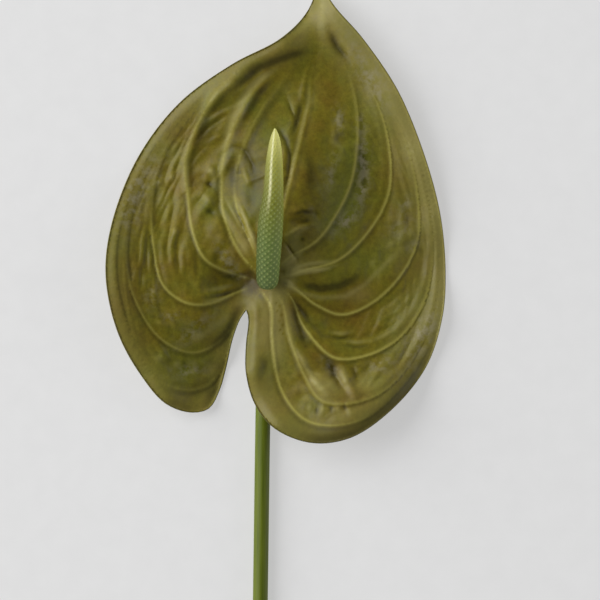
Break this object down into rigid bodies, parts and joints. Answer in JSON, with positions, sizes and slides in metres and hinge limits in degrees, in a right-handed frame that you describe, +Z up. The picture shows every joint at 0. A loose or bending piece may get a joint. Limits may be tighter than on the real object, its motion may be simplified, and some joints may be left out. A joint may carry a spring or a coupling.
{
  "type": "cut anthurium stem",
  "caption": "Cut anthurium flower lying on its back: a puckered heart-shaped waxy spathe in olive green with raised veins, a tapering spadix and a long round stalk.",
  "frame": {"origin": "on the surface that the flower lies on, under the middle of its outline seen from above", "axes": "+Y along the stalk, from its cut end to the tip of the spathe; +Z up, the way the spathe faces; +X to the right as the spathe is looked at with its tip up"},
  "size_m": [0.1302, 0.5051, 0.0435],
  "materials": {
    "spathe": "waxy, glossy olive green",
    "spadix": "satin, pale yellow green tip and blue green base",
    "stem": "satin green"
  },
  "bodies": {
    "root": {"spathe": "spathe", "spadix": "spadix", "stem": "stem"}
  },
  "joints": []
}
